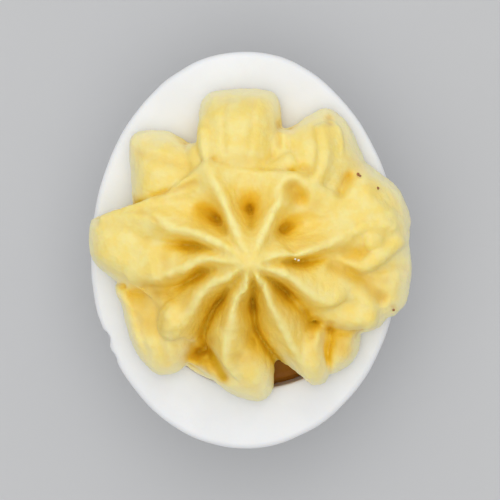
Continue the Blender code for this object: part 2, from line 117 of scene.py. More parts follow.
# The fat lobes below: top height, fall outwards per mm, height of the widest level, outline.
PADS = {
    "north": (10.2, 0.22, 2.4, ((-7.2, 19.4), (-7, 21.9), (-6.2, 23.5), (-4.4, 24.1), (-1.7, 24.3), (1.7, 24.2), (3.5, 23.5), (4.3, 21.3), (4.4, 17.7), (4.2, 14.6), (2.6, 11.1), (-4.4, 10.2), (-6.7, 12), (-7.1, 15.9))),
    "northeast": (8.9, 0.14, 2.4, ((4.4, 18.5), (6, 19.2), (8.3, 20.7), (10.3, 21.6), (12, 21.1), (13.9, 19.1), (14.9, 16.7), (15.9, 14.4), (16.6, 11.1), (13.1, 7.6), (7, 7.6), (4.5, 11.1), (4, 14.6), (4.3, 16.8))),
    "east": (9.6, 0.16, 2.4, ((12.2, 13.3), (15.3, 14.3), (17.4, 13.1), (19.3, 11.6), (20.7, 10.2), (21.8, 8.1), (22.2, 6.5), (22.2, 4.6), (21.8, 2.4), (17.9, -1.1), (11.3, -1.1), (8.7, 5.9), (9.6, 10.2))),
    "southeast": (8.4, 0.14, 2.2, ((17.4, 3.7), (21.6, 3.7), (22.3, 1.5), (22.5, -1.1), (22.2, -3.3), (21.7, -5.5), (20.4, -7), (19, -7.6), (17.8, -9), (15, -9.7), (11.4, -9.5), (8.7, -7.6), (7.8, -3.3), (11.3, 0.7))),
    "south_a": (8.8, 0.2, 1.8, ((6.9, -8.3), (8.7, -7.4), (10.6, -7.5), (10.9, -11.6), (11, -14.6), (10.5, -16.5), (9.1, -17.1), (8.2, -16.9), (7, -15.3), (6.4, -13.4), (6.5, -11.1))),
    "south_b": (6.9, 0.22, 1.6, ((10.6, -8.1), (13.1, -7.8), (15, -8.7), (15.3, -11.3), (14.6, -13.3), (13.3, -14.6), (11.9, -15.3), (11, -15.1), (10.6, -12))),
    "south_c": (8.2, 0.3, 1.8, ((-1.7, -8.1), (0.9, -8.9), (2.4, -11.6), (3.2, -14.2), (3.1, -17.6), (1.7, -19.1), (0, -19.1), (-1.7, -18.1), (-3.1, -15.9), (-3.9, -13.3), (-3.5, -9.8))),
    "south_d": (6.9, 0.25, 1.5, ((-7.8, -13.5), (-7.2, -12.6), (-5.7, -12.3), (-3.5, -11.6), (0, -12.4), (1.8, -16.4), (1.4, -19.1), (-1.3, -18.8), (-3.5, -17.7), (-5.7, -16), (-7.3, -14.7))),
    "southwest": (7.8, 0.12, 2, ((-18.9, -3.1), (-16.1, -2.8), (-11.3, -2.4), (-7.4, -4.1), (-6.9, -8.1), (-7.7, -11.6), (-8.6, -13.8), (-10.5, -15.4), (-12.9, -15.6), (-14.7, -14.2), (-16.5, -11.6), (-17.5, -8.1), (-18.1, -5.5))),
    "west": (9.2, 0.14, 2.3, ((-22.5, 2.3), (-22.5, 4.4), (-22.2, 5.9), (-21.4, 6.5), (-18.3, 7.3), (-16.4, 8), (-9.6, 6.8), (-8.7, -0.2), (-13.1, -3.1), (-17.5, -3), (-20, -1.6), (-21.6, -0.2), (-22.3, 1.2))),
    "northwest": (9, 0.22, 2.2, ((-16.6, 17.7), (-15, 18.5), (-11.8, 18.4), (-9.1, 17.1), (-7.7, 16.3), (-5.7, 14.6), (-5.2, 9.4), (-8.7, 7.6), (-13.1, 6.8), (-16, 7.7), (-16.5, 10.2), (-16.8, 13.3), (-16.9, 15.9))),
}
# Soft folds and pits pressed into the surface: depth, half width, how much painted shade darkens the colour there,
# line.
FOLDS = (
    (0.3, 0.45, 0.1, ((-3, 23.3), (-3.4, 19.8), (-3.1, 15.9))),
    (0.25, 0.6, 0.08, ((0.4, 23.3), (0.7, 19.4), (0, 15))),
    (0.42, 0.8, 0.3, ((-15.3, 15.4), (-12.7, 15), (-10.5, 14.4), (-8.3, 13.7))),
    (0.22, 0.8, 0.12, ((-15.5, 1.7), (-14, 3.5), (-12.4, 4.8))),
    (0.35, 0.5, 0.05, ((-16.5, -4.1), (-15.3, -8.5), (-14.1, -12.9))),
    (0.35, 0.5, 0.18, ((-13.2, -3.5), (-12.7, -7.6), (-11.4, -13.7))),
    (0.25, 0.5, 0.1, ((-10.5, -9.4), (-9.5, -13.3))),
    (1.1, 0.9, 0.85, ((11.8, 0.2), (14.3, -0.9), (16.4, -2.4), (18.4, -4.5))),
    (0.7, 2, 0.55, ((-15.3, -4), (-13.3, -6.1), (-12.7, -7.9))),
    (0.5, 0.3, 0.4, ((20, -5.7), (20.7, -6.8))),
    (0.9, 0.7, 0.5, ((12.8, 10.2), (13.2, 11.1), (13.8, 12.2))),
    (0.4, 0.8, 0.3, ((13.8, 12.2), (14.8, 13.3), (15.9, 13.8))),
    (0.3, 0.8, 0.15, ((13.7, 12.4), (14.6, 14.4), (15, 15.7))),
    (0.35, 0.5, 0.7, ((11.1, 20.5), (11.3, 19.9))),
    (1.1, 1.2, 0.55, ((13.7, 2), (14.8, 1.6))),
    (0.5, 0.45, 0.75, ((11.4, -9.1), (13.5, -9.3), (15.4, -9))),
    (0.7, 0.6, 0.95, ((11.3, -8.3), (11.7, -9.7), (11.6, -10.9))),
    (0.5, 0.4, 0.3, ((11.3, -8.3), (11.3, -11.6))),
    (0.9, 0.8, 1.55, ((-5.9, -11.6), (-4.7, -13.9), (-3.6, -15.7))),
    (0.5, 0.6, 1.25, ((0.8, -8.7), (1.2, -10.2), (2.1, -11.2))),
    (0.2, 1, 0.95, ((-12.9, -3.9), (-11.2, -3.7))),
    (0.5, 0.3, 0.25, ((1.5, -3), (2.4, -2.3))),
    (0.1, 1.2, 0.7, ((-1.3, -12.7), (0.5, -12.7), (1.5, -11.8))),
    (0.8, 0.85, 1.4, ((8, -6.6), (8.4, -7.5), (9.4, -7.8))),
    (0.5, 0.6, 0.4, ((8.7, -8.3), (8.8, -9.4))),
    (0.5, 0.4, 0.6, ((4.1, 19.8), (4.1, 18.1), (4.2, 16.6))),
    (2.5, 1.2, 0.75, ((6.3, 10.8), (6.7, 10.2), (7.1, 9.7))),
    (1.6, 0.9, 1.5, ((-5.7, -10.4), (-5.9, -11.5), (-6.6, -12.3), (-7.3, -12.4))),
    (0.5, 1.3, 1.05, ((-7.9, -13.4), (-6.3, -13.7), (-5.4, -14.3))),
    (0.4, 0.6, 0.15, ((7.7, 13.4), (8, 12.9))),
    (0.9, 1, 1.15, ((0.5, -9.4), (0.8, -10.9))),
    (0.2, 0.8, 0.5, ((-11.5, 1.4), (-11.2, 0.2))),
    (0.05, 0.45, 0.6, ((-11.5, -1.7), (-10.1, -1.3), (-8.8, -0.7))),
    (0.1, 0.7, 0.5, ((17.2, -1.6), (18.9, -2))),
    (0.05, 0.8, 0.8, ((-3.2, -6), (-3.2, -7.7))),
    (1.2, 0.7, 0.9, ((-8.2, -12.8), (-7.3, -12.5))),
    (0.9, 1.5, 0.65, ((-15.2, -4.8), (-14.9, -6.5), (-14.2, -8.3))),
    (0.5, 0.55, 0.85, ((-14.5, -2.9), (-11.8, -3), (-8.9, -2.5))),
    (0.05, 1.4, 0.5, ((-5.9, -6.1), (-7.1, -8.7), (-7.4, -11.1))),
    (0.05, 1.5, 0.45, ((4.8, -4.3), (6.4, -6.8))),
    (0.15, 1, 0.45, ((-12.7, -4.1), (-10.7, -2.5))),
    (0.2, 0.9, 0.5, ((-9, -4.1), (-8.6, -5.7))),
    (0.1, 1.4, 0.9, ((12.5, -9.6), (12.9, -11.5))),
    (0.1, 1.2, 0.25, ((8.5, -8.9), (9.1, -12))),
    (0.45, 0.5, 0.6, ((-13, 9.5), (-12.2, 9.9), (-10.5, 10.4), (-7.4, 11.6))),
    (0.3, 0.4, 0.4, ((-15, 7.6), (-13.8, 7.2), (-12.5, 6.3))),
    (0.1, 0.9, 0.25, ((-4.8, 14.8), (-1.6, 14.3), (1.3, 14.8))),
    (0.15, 0.9, 0.35, ((7, 8.1), (9.3, 8.6))),
    (0.1, 0.8, 0.3, ((7.5, 3.7), (10.9, 3.4))),
    (0.4, 0.5, 0.2, ((17.8, -0.7), (20.5, -0.2), (22.4, -0.7))),
    (0.3, 0.6, 0.1, ((17.8, 9.8), (20.5, 8.1), (22.2, 6.3))),
)
# Places where the piping runs together softly: x, y, radius, rounds of smoothing.
SOFT = ((-7.7, 12.9, 2.6, 18), (-20.6, 6.7, 2.2, 16), (3.7, 13.1, 2.4, 12), (-1.3, 14.5, 2.2, 12), (1.5, 13.8, 2.4, 12), (12.8, 11.6, 3.6, 34), (11.7, 10.5, 2.6, 24), (6.5, 10.5, 1.6, 8), (-4.8, -6.8, 2, 6), (2.8, -8.5, 1.8, 8), (6.5, -13.3, 3, 10), (15.2, -3.7, 3.4, 26), (11.7, -7.9, 3, 26), (9.1, -7.2, 2.2, 16), (-5.7, -12.2, 3, 20), (-9.8, -6.8, 2.6, 14), (-10.4, -9.9, 1.8, 12), (-6.6, 23.2, 2.4, 24), (4.3, 22.8, 2.4, 20), (8.2, 12.4, 2.6, 7), (13.7, 1.1, 2.6, 8), (21.3, -6.1, 2, 10), (2.6, -17.7, 1.8, 10))
FLOOR_R = (0, 1.5, 3, 4.5, 6, 7.5, 9, 11, 13.4, 15.2, 16.3, 18.5)
# Grains lying on the filling: x, y, size.
SPICE = ((15.2, 12.7, 0.6), (15.5, 12.5, 0.3), (18, 10.8, 0.45), (20.1, -6.2, 0.4))
# Small pale bits lying on the first ridge's crest: x, y, size.
PALE_BITS = ((6.8, 1.3, 0.36), (7.2, 1.1, 0.3))
FLOOR = (
    (0, (6, 6, 5, 4, 3.2, 3, 3, 3, 3, 3, 2.6, 2)),
    (215, (6, 6, 5, 4, 3.2, 3, 3, 3, 3, 3, 2.6, 2)),
    (229, (6, 6, 5, 4, 3, 2.6, 2.6, 2.4, 2, 1.6, 1.6, 1.6)),
    (258, (6, 6, 5, 4, 3, 2.6, 2.6, 2.4, 2.4, 2.4, 2.4, 2)),
    (276, (6, 6, 5, 4, 3, 2.6, 2.6, 2.4, 2.4, 2, 1, 0.4)),
    (281, (6, 6, 5, 4.6, 4.2, 4, 3.8, 3, -0.4, -1.6, -2.2, -2.4)),
    (293, (6, 6, 5, 4.6, 4.2, 4, 3.8, 3, 0.4, -1.2, -2.2, -2.4)),
    (300, (6, 6, 5, 4, 3, 2.6, 2.4, 2, 2, 2, 1.6, 1)),
    (320, (6, 6, 5, 4, 3.2, 3, 3, 3, 3, 3, 2.6, 2)),
)


# ------------------------------------------------------------------ helpers
def smooth_rows(rows, t):
    """Catmull-Rom through the rows at positions t."""
    n = len(rows) - 1
    i = np.clip(np.floor(t).astype(int), 0, n - 1)
    f = (t - i)[:, None]
    a, b, c, d = rows[np.clip(i - 1, 0, n)], rows[i], rows[i + 1], rows[np.clip(i + 2, 0, n)]
    return 0.5 * (2 * b + (c - a) * f + (2 * a - 5 * b + 4 * c - d) * f ** 2 + (3 * b - a - 3 * c + d) * f ** 3)


def tube_mesh(sections):
    """Closed triangles/quads through a list of equal closed sections (k, m, 3), pinched at both ends."""
    k, m = sections.shape[:2]
    verts = np.concatenate([sections.reshape(-1, 3), sections[0].mean(0)[None], sections[-1].mean(0)[None]])
    faces = []
    for i in range(k - 1):
        for j in range(m):
            j2 = (j + 1) % m
            faces.append((i * m + j, i * m + j2, (i + 1) * m + j2, (i + 1) * m + j))
    a, b = k * m, k * m + 1
    for j in range(m):
        j2 = (j + 1) % m
        faces.append((a, j2, j))
        faces.append((b, (k - 1) * m + j, (k - 1) * m + j2))
    return verts, faces


def along(rows, step=0.22):
    """Even samples of a smooth curve through table rows whose first three columns are x, y, z."""
    rows = np.array(rows, float)
    fine = np.linspace(0, len(rows) - 1, 60 * len(rows))
    dense = smooth_rows(rows, fine)
    run = np.concatenate([[0], np.cumsum(np.linalg.norm(np.diff(dense[:, :3], axis=0), axis=1))])
    at = np.linspace(0, run[-1], max(8, int(run[-1] / step)))
    d = np.stack([np.interp(at, run, dense[:, c]) for c in range(rows.shape[1])], 1)
    tangent = np.gradient(d[:, :2], axis=0)
    tangent /= np.linalg.norm(tangent, axis=1)[:, None] + 1e-12
    return d, at, np.stack([-tangent[:, 1], tangent[:, 0]], 1)


def wander(at, seed):
    return np.array([noise.noise(Vector((s * 0.9, seed * 7.3, 1.7))) + 0.5 * noise.noise(Vector((s * 2.3, seed * 3.1, 5.1)))
                     for s in at])


def end_share(at, i, reach, cap):
    e = min(at[i], at[-1] - at[i]) / reach
    return max((1 - (1 - e) ** cap) ** (1 / cap), 0.02) if e < 1 else 1.0


HALF = np.concatenate([np.linspace(0, 1, 15) ** 1.2])
LOW_U = np.cos(np.linspace(0, math.pi, 13))[1:-1]


def fin(rows, seed, bottom=1.2, rough=0.2):
    """A piped crest with its own flank on each side: hollow and steep, or a leaf that
    slopes gently to an edge and then drops."""
    d, at, side = along(rows)
    w = wander(at, seed)
    sections = []
    for i in range(len(at)):
        x, y, z, wl, dl, sl, wr, dr, sr = d[i]
        k = end_share(at, i, min(0.45 * (wl + wr), at[-1] * 0.3), 2.6)
        z += rough * w[i]
        mid = z - min(dl, dr)

        def flank(width, drop, style):
            t = HALF * width
            a = np.clip((t - CREST_HALF) / max(width - CREST_HALF, 0.05), 0, 1)
            hollow = 1 - (1 - a) ** 1.7
            leaf = np.where(a < 0.84, 0.42 * (a / 0.84) ** 1.15,
                            0.42 + 0.58 * (1 - np.sqrt(np.maximum(0, 1 - (np.maximum(a - 0.84, 0) / 0.16) ** 2))))
            h = z - drop * ((1 - style) * hollow + style * leaf)
            return t * k, mid + (h - mid) * k

        lt, lh = flank(wl, dl, np.clip(sl, 0, 1))
        rt, rh = flank(wr, dr, np.clip(sr, 0, 1))
        top_t = np.concatenate([-rt[::-1], lt[1:]])
        top_h = np.concatenate([rh[::-1], lh[1:]])
        lo_t = np.where(LOW_U > 0, LOW_U * wl, LOW_U * wr) * k
        edge = np.where(LOW_U > 0, lh[-1], rh[-1])
        e0 = (lh[-1] + rh[-1]) / 2
        blend = np.abs(LOW_U) ** 2
        edge = edge * blend + e0 * (1 - blend)
        base = min(bottom, edge.min() - 0.3)
        lo_h = edge + (base - edge) * np.sqrt(1 - np.abs(LOW_U) ** 3) * k
        t = np.concatenate([top_t, lo_t])
        h = np.concatenate([top_h, lo_h])
        sections.append(np.stack([x + side[i, 0] * t, y + side[i, 1] * t, h], 1))
    return tube_mesh(np.array(sections))


def lobe(rows, seed, bottom=0.02, thick=3.4, cap=3.4, power=3.0, rough=0.14):
    """A fat rounded rope of filling lying on the cut face, with a squarish end."""
    d, at, side = along(rows)
    w = wander(at, seed)
    top_u = np.sign(np.linspace(-1, 1, 25)) * np.abs(np.linspace(-1, 1, 25)) ** 0.8
    sections = []
    for i in range(len(at)):
        x, y, z, half = d[i]
        k = end_share(at, i, min(0.9 * half, at[-1] * 0.35, 2.4), cap)
        z += rough * w[i]
        half *= 1 + 0.05 * w[i]
        drop = min(z - 3.0, thick)
        edge = z - drop
        top = edge + drop * np.sqrt(np.maximum(0, 1 - np.abs(top_u) ** power)) * k
        low = edge + (bottom - edge) * np.sqrt(1 - np.abs(LOW_U) ** 3) * k
        t = np.concatenate([top_u, LOW_U]) * half * k
        h = np.concatenate([top, low])
        sections.append(np.stack([x + side[i, 0] * t, y + side[i, 1] * t, h], 1))
    return tube_mesh(np.array(sections))


def star(columns=18, rings=150):
    """The piped star: nine ridges and nine valleys from the peak outwards, one closed body."""
    ridge = np.array(RIDGES, float)                                   # (9, rows, 3)
    valley = np.array([v[2] for v in VALLEYS], float)                 # (9, rows, 5)
    style = np.array([v[:2] for v in VALLEYS], float)
    n, rows = ridge.shape[:2]
    t = np.linspace(0, rows - 1, rings)
    R = np.stack([smooth_rows(ridge[i], t) for i in range(n)])
    V = np.stack([smooth_rows(valley[i], t) for i in range(n)])
    V[:, :, 3] = np.maximum(V[:, :, 3], 0)
    for i in range(n):                                                # crests wander a little
        R[i, :, 2] += 0.16 * wander(np.linspace(0, 22, rings), i + 1)
        if i == 0:                                                    # the broken crest
            R[i, :, 2] += 0.28 * wander(np.linspace(0, 60, rings), 77) * np.clip((t - 2) / 1.5, 0, 1)
        R[i, :, 0] += 0.10 * wander(np.linspace(0, 30, rings), i + 31)
        R[i, :, 1] += 0.10 * wander(np.linspace(0, 30, rings), i + 61)
    u = np.linspace(0, 1, columns + 1)
    loops = []
    for i in range(n):
        j = (i + 1) % n
        for a, flip, leaf in ((i, False, style[i, 0]), (j, True, style[i, 1])):
            r, v = R[a], V[i]
            gap = np.hypot(v[:, 0] - r[:, 0], v[:, 1] - r[:, 1])[:, None]
            e = np.clip(r[:, 3][:, None] / np.maximum(gap, 0.1), 0, 0.7)
            uu = u[None, :]
            x = np.clip(((uu ** 2.6 + e ** 2.6) ** (1 / 2.6) - e) / ((1 + e ** 2.6) ** (1 / 2.6) - e), 0, 1)
            f = (1 - leaf) * (1 - (1 - x) ** 1.55) + leaf * (0.35 * x + 0.65 * x ** 2.6)
            away = (1 - uu) * gap                                    # distance from the valley's line
            near = np.clip(1 - away / (1.1 * v[:, 4][:, None]), 0, 1)
            pit = 0.75 * np.clip(1 - away / (1.9 * v[:, 4][:, None]), 0, 1) ** 1.8 + 0.3 * near * near * (3 - 2 * near)
            z = r[:, 2][:, None] + (v[:, 2] - r[:, 2])[:, None] * f - v[:, 3][:, None] * pit
            px = r[:, 0][:, None] * (1 - uu) + v[:, 0][:, None] * uu
            py = r[:, 1][:, None] * (1 - uu) + v[:, 1][:, None] * uu
            block = np.stack([px, py, z], 2)
            loops.append(block[:, ::-1][:, :-1] if flip else block[:, :-1])
    grid = np.concatenate(loops, 1)                                   # (rings, around, 3)
    edge = grid[-1]
    size = np.hypot(edge[:, 0], edge[:, 1])[:, None]
    out = edge[:, :2] / size
    below = []
    for push, down in ((0.18, 0.35), (0.22, 0.9), (0.05, 1.5), (-0.6, 2.1)):
        below.append(np.concatenate([edge[:, :2] + out * push, edge[:, 2:] - down], 1))
    below.append(np.concatenate([edge[:, :2] * 0.72, np.minimum(edge[:, 2:] - 2.4, 4.0)], 1))
    below.append(np.concatenate([edge[:, :2] * 0.45, np.minimum(edge[:, 2:] - 3.0, 2.0)], 1))
    rowsall = np.concatenate([grid, np.array(below)], 0)
    k, m = rowsall.shape[:2]
    verts = np.concatenate([rowsall.reshape(-1, 3), [[rowsall[0, :, 0].mean(), rowsall[0, :, 1].mean(), rowsall[0, :, 2].max() + 0.05]], [[0, 0, 1.5]]])
    faces = []
    for i in range(k - 1):
        for j in range(m):
            j2 = (j + 1) % m
            faces.append((i * m + j, (i + 1) * m + j, (i + 1) * m + j2, i * m + j2))
    for j in range(m):
        j2 = (j + 1) % m
        faces.append((k * m, j, j2))
        faces.append((k * m + 1, (k - 1) * m + j2, (k - 1) * m + j))
    return verts, faces


def closed_curve(points, count):
    p = np.array(points, float)
    n = len(p)
    t = np.linspace(0, n, count, endpoint=False)
    i = np.floor(t).astype(int)
    f = (t - i)[:, None]
    a, b, c, d = p[(i - 1) % n], p[i % n], p[(i + 1) % n], p[(i + 2) % n]
    return 0.5 * (2 * b + (c - a) * f + (2 * a - 5 * b + 4 * c - d) * f ** 2 + (3 * b - a - 3 * c + d) * f ** 3)


def pad(top, fall, widest, outline, power=2.5):
    """A fat lobe: a cushion over a closed outline, tucked in where it meets the cut face."""
    rim = closed_curve(outline, 180)
    mid = rim.mean(0)
    r_mid = math.hypot(*mid)
    rows = []
    for t in np.linspace(0, math.pi / 2, 9)[::-1]:                    # from the cut face up to the widest level
        s = 1 - 0.07 * (1 - math.cos(t))
        z = 0.02 + (widest - 0.02) * (1 - math.sin(t))
        rows.append(np.concatenate([mid + (rim - mid) * s, np.full((len(rim), 1), z)], 1))
    for s in (1 - np.linspace(0, 0.98, 34) ** 1.35)[1:]:
        p = mid + (rim - mid) * s
        crown = top - fall * (np.hypot(p[:, 0], p[:, 1]) - r_mid)
        z = widest + (crown - widest) * (1 - s ** power) ** 0.5
        rows.append(np.concatenate([p, z[:, None]], 1))
    k, m = len(rows), len(rim)
    verts = np.concatenate([np.concatenate(rows), [[mid[0], mid[1], 0.02]], [[mid[0], mid[1], top]]])
    faces = []
    area = 0.5 * np.sum(rim[:, 0] * np.roll(rim[:, 1], -1) - np.roll(rim[:, 0], -1) * rim[:, 1])
    for i in range(k - 1):
        for j in range(m):
            j2 = (j + 1) % m
            q = (i * m + j, i * m + j2, (i + 1) * m + j2, (i + 1) * m + j)
            faces.append(q if area > 0 else q[::-1])
    for j in range(m):
        j2 = (j + 1) % m
        a, b = (k * m, j2, j), (k * m + 1, (k - 1) * m + j, (k - 1) * m + j2)
        faces.append(a if area > 0 else a[::-1])
        faces.append(b if area > 0 else b[::-1])
    return verts, faces


def soften(mesh, spots, shift=0.5):
    """Extra smoothing around a few spots: x, y, radius, rounds at the middle."""
    c = coords(mesh) / MM
    share = np.zeros(len(c))
    for x, y, radius, rounds in spots:
        away = np.hypot(c[:, 0] - x, c[:, 1] - y) / radius
        share = np.maximum(share, rounds * np.clip(1.3 * (1 - away), 0, 1) * (c[:, 2] > 0.6))
    e = np.zeros(len(mesh.edges) * 2, np.int32)
    mesh.edges.foreach_get("vertices", e)
    e = e.reshape(-1, 2)
    e = e[(share[e] > 0).any(1)]
    degree = np.maximum(np.bincount(e.ravel(), minlength=len(c)).astype(float), 1)[:, None]
    for k in range(int(share.max()) + 1):
        s = np.zeros_like(c)
        for a in range(3):
            s[:, a] = np.bincount(e[:, 0], weights=c[e[:, 1], a], minlength=len(c)) + \
                np.bincount(e[:, 1], weights=c[e[:, 0], a], minlength=len(c))
        c += (s / degree - c) * (shift * np.clip(share - k, 0, 1))[:, None]
    set_coords(mesh, c * MM)


def fill_creases(mesh, rounds=24, sharp=0.03):
    """Furrow bottoms rounded: vertices sunk between their neighbours rise along their normal."""
    e = np.zeros(len(mesh.edges) * 2, np.int32)
    mesh.edges.foreach_get("vertices", e)
    e = e.reshape(-1, 2)
    c = coords(mesh) / MM
    share = np.clip((15.5 - np.hypot(c[:, 0], c[:, 1])) / 2, 0, 1) * np.clip((c[:, 2] - 1) / 2, 0, 1)
    degree = np.bincount(e.ravel(), minlength=len(c)).astype(float)
    for _ in range(rounds):
        s = np.zeros_like(c)
        for a in range(3):
            s[:, a] = np.bincount(e[:, 0], weights=c[e[:, 1], a], minlength=len(c)) + \
                np.bincount(e[:, 1], weights=c[e[:, 0], a], minlength=len(c))
        pull = s / degree[:, None] - c
        n = normals(mesh)
        depth = np.einsum("ij,ij->i", pull, n)
        c += n * (np.maximum(depth - sharp, 0) * 0.9 * share)[:, None]
        set_coords(mesh, c * MM)


def press_folds(c, n):
    """Soft folds and pits: vertices near a line, on faces that look up, sink along it.
    Returns the painted shade of each vertex: how strongly it lies in a fold, times the fold's shade tone."""
    shade_mark = np.zeros(len(c))
    for depth, half, shade_tone, line in FOLDS:
        line = np.array(line, float)
        best = np.full(len(c), 9.0)
        for a, b in zip(line[:-1], line[1:]):
            d = b - a
            t = np.clip(((c[:, :2] - a) @ d) / (d @ d), 0, 1)
            dist = np.hypot(c[:, 0] - a[0] - t * d[0], c[:, 1] - a[1] - t * d[1])
            best = np.minimum(best, dist)
        share = np.exp(-(best / half) ** 2) * np.clip(n[:, 2] * 2, 0, 1) * (c[:, 2] > 1.5)
        c[:, 2] -= depth * share
        shade_mark = np.maximum(shade_mark, shade_tone * share)
    return shade_mark


def object_from(name, verts, faces, at=(0, 0, 0)):
    mesh = bpy.data.meshes.new(name)
    mesh.from_pydata([tuple(v) for v in verts], [], [tuple(f) for f in faces])
    mesh.update()
    o = bpy.data.objects.new(name, mesh)
    bpy.context.scene.collection.objects.link(o)
    o.location = at
    return o


def coords(mesh):
    c = np.zeros(len(mesh.vertices) * 3, np.float32)
    mesh.vertices.foreach_get("co", c)
    return c.reshape(-1, 3).astype(float)


def set_coords(mesh, c):
    mesh.vertices.foreach_set("co", c.astype(np.float32).ravel())
    mesh.update()


def normals(mesh):
    c = np.zeros(len(mesh.vertices) * 3, np.float32)
    mesh.vertex_normals.foreach_get("vector", c)
    return c.reshape(-1, 3).astype(float)


def evaluated(o):
    """o's mesh with its modifiers applied, as a plain mesh."""
    bpy.context.view_layer.update()
    graph = bpy.context.evaluated_depsgraph_get()
    return bpy.data.meshes.new_from_object(o.evaluated_get(graph))


def settle(o):
    mesh = evaluated(o)
    o.modifiers.clear()
    old = o.data
    o.data = mesh
    bpy.data.meshes.remove(old)


def relax(mesh, share, rounds):
    """Plain Laplacian smoothing over the mesh's edges."""
    c = coords(mesh)
    e = np.zeros(len(mesh.edges) * 2, np.int32)
    mesh.edges.foreach_get("vertices", e)
    e = e.reshape(-1, 2)
    degree = np.bincount(e.ravel(), minlength=len(c)).astype(float)[:, None]
    for _ in range(rounds):
        s = np.zeros_like(c)
        for a in range(3):
            s[:, a] = np.bincount(e[:, 0], weights=c[e[:, 1], a], minlength=len(c)) + \
                np.bincount(e[:, 1], weights=c[e[:, 0], a], minlength=len(c))
        c += (s / degree - c) * share
    set_coords(mesh, c)


# ------------------------------------------------------------------ filling
def heart_radius(r, z, angle):
    """Distance from the swirl's axis of a point r from the hollow's own axis."""
    h = np.clip(1 - z / 5, 0, 1)
    dx, dy = HOLLOW_SHIFT[0] * h, HOLLOW_SHIFT[1] * h
    x, y = dx + r * np.cos(angle), dy + r * np.sin(angle)
    return np.hypot(x, y)


def floor_height(r, angle):
    """Height of the dish between the crests, from the table of directions."""
    deg = np.degrees(angle) % 360
    dirs = np.array([row[0] for row in FLOOR] + [FLOOR[0][0] + 360], float)
    table = np.array([row[1] for row in FLOOR] + [FLOOR[0][1]], float)
    k = np.clip(np.searchsorted(dirs, deg, side="right") - 1, 0, len(dirs) - 2)
    f = (deg - dirs[k]) / (dirs[k + 1] - dirs[k])
    f = f * f * (3 - 2 * f)
    rr = np.array(FLOOR_R, float)
    j = np.clip(np.searchsorted(rr, r, side="right") - 1, 0, len(rr) - 2)
    g = np.clip((r - rr[j]) / (rr[j + 1] - rr[j]), 0, 1)
    low = table[k, j] * (1 - g) + table[k, j + 1] * g
    high = table[k + 1, j] * (1 - g) + table[k + 1, j + 1] * g
    return low * (1 - f) + high * f


def heart_body():
    """The plug in the hollow and the dish above it, as one closed body."""
    columns = 180
    angle = np.linspace(0, 2 * math.pi, columns, endpoint=False)
    a, b = HOLLOW + 0.10, HOLLOW_DEPTH - 0.02
    mouth = heart_radius(a, 0.0, angle)
    reach = np.minimum(mouth - 0.4, 18.5)
    edge = floor_height(reach, angle)
    sunk = np.clip(0.6 - edge, 0, 3)                                  # open stretches stay below the rim
    rows = []
    for t in np.linspace(0, math.pi / 2 * 0.985, 26)[1:]:
        r, z = a * math.sin(t), -b * math.cos(t)
        rr = heart_radius(r, z, angle)
        rows.append(np.stack([rr * np.cos(angle), rr * np.sin(angle), np.minimum(z, 0.12 - 1.1 * sunk)], 1))
    for share, out in ((0.0, 0.0), (0.5, -0.1), (0.85, -0.5)):
        z = 0.12 - 1.1 * sunk + (np.maximum(edge, 0.3) - 0.3) * share
        r = reach + 0.3 + out
        rows.append(np.stack([r * np.cos(angle), r * np.sin(angle), z], 1))
    for s in np.linspace(0.97, 0.02, 60):
        r = reach * s
        z = floor_height(r, angle)
        rows.append(np.stack([r * np.cos(angle), r * np.sin(angle), z], 1))
    k, m = len(rows), columns
    verts = np.concatenate([np.concatenate(rows), [[HOLLOW_SHIFT[0], HOLLOW_SHIFT[1], -b]], [[0, 0, FLOOR[0][1][0]]]])
    faces = []
    for i in range(k - 1):
        for j in range(m):
            j2 = (j + 1) % m
            faces.append((i * m + j, i * m + j2, (i + 1) * m + j2, (i + 1) * m + j))
    for j in range(m):
        j2 = (j + 1) % m
        faces.append((k * m, j2, j))
        faces.append((k * m + 1, (k - 1) * m + j, (k - 1) * m + j2))
    return verts, faces


def filling_shells():
    shells = [heart_body()]
    shells.append(star())
    for i, rows in enumerate(FINS.values()):
        shells.append(fin(rows, i + 1))
    for i, rows in enumerate(ROPES.values()):
        shells.append(lobe(rows, i + 20))
    for top, fall, widest, outline in PADS.values():
        shells.append(pad(top, fall, widest, outline))
    return shells


shells = filling_shells()
verts, faces, base = [], [], 0
for v, f in shells:
    verts.append(v)
    faces += [tuple(i + base for i in q) for q in f]
    base += len(v)
filling = object_from("piped_filling", np.concatenate(verts) * MM, faces, (SWIRL[0], SWIRL[1], CUT))
remesh = filling.modifiers.new("fuse", "REMESH")
remesh.mode = "VOXEL"
remesh.voxel_size = VOXEL * MM
remesh.adaptivity = 0
settle(filling)
relax(filling.data, 0.5, 3)
fill_creases(filling.data)
soften(filling.data, SOFT)
hidden = filling.vertex_groups.new(name="hidden")                     # the plug in the hollow needs few faces
hidden.add([int(i) for i in np.nonzero(coords(filling.data)[:, 2] < -1.0 * MM)[0]], 1.0, "REPLACE")
thin = filling.modifiers.new("thin", "DECIMATE")
thin.ratio = 0.84
thin.vertex_group = "hidden"
settle(filling)
filling.vertex_groups.clear()

c = coords(filling.data) / MM
n = normals(filling.data)
outside = np.hypot(c[:, 0] - HOLLOW_SHIFT[0], c[:, 1] - HOLLOW_SHIFT[1]) > HOLLOW + 0.2
shown = np.clip((c[:, 2] + 1) / 2, 0, 1)
bump = np.array([0.16 * noise.noise(Vector(p) * 0.33) + 0.10 * noise.noise(Vector(p) * 0.8 + Vector((9, 3, 1)))
                 + 0.055 * noise.noise(Vector(p) * 1.7 + Vector((1, 7, 4)))
                 + 0.035 * noise.noise(Vector(p) * 3.4 + Vector((5, 2, 8))) for p in c])
fold_shade = press_folds(c, n)
c += n * (bump * shown)[:, None]
c[:, 2] = np.where((c[:, 2] < 0.05) & outside, 0.05, c[:, 2])
set_coords(filling.data, c * MM)
filling.data.shade_smooth()


